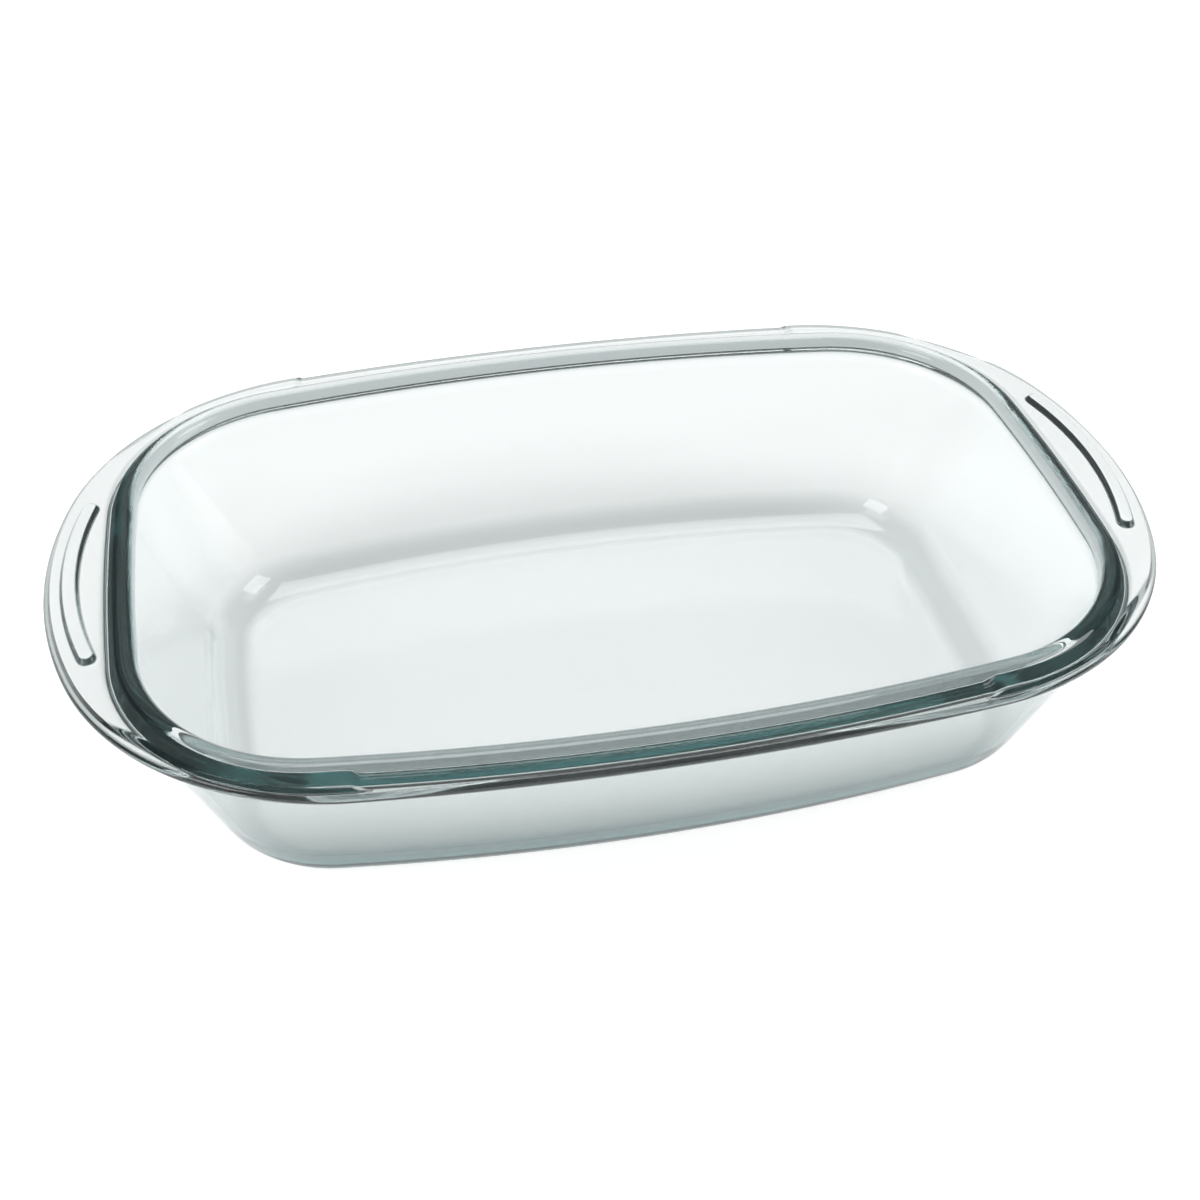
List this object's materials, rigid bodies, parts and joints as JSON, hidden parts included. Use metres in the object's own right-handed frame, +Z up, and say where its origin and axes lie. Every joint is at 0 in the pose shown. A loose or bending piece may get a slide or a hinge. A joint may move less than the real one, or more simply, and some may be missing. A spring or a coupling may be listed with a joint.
{
  "type": "oblong glass baking dish",
  "caption": "Clear pressed-glass oblong baking dish with bowed sloping walls, a beaded rim and crescent end handles with a curved grip rib on each.",
  "frame": {"origin": "on the table, under the middle of the dish", "axes": "+X along the length from handle to handle, +Y across the dish towards the back, +Z up out of the mouth"},
  "size_m": [0.35, 0.218, 0.0715],
  "materials": {
    "clear_glass": "clear pressed soda-lime or borosilicate glass with a faint grey-green tint, polished"
  },
  "bodies": {
    "root": {"basin_floor": "clear_glass", "wall_right": "clear_glass", "corner_back_right": "clear_glass", "wall_back": "clear_glass", "corner_back_left": "clear_glass", "wall_left": "clear_glass", "corner_front_left": "clear_glass", "wall_front": "clear_glass", "corner_front_right": "clear_glass", "rim_bead": "clear_glass", "flange_front": "clear_glass", "flange_back": "clear_glass", "handle_left": "clear_glass", "handle_right": "clear_glass", "handle_pad_left": "clear_glass", "handle_pad_right": "clear_glass", "grip_rib_left": "clear_glass", "grip_rib_right": "clear_glass"}
  },
  "joints": []
}
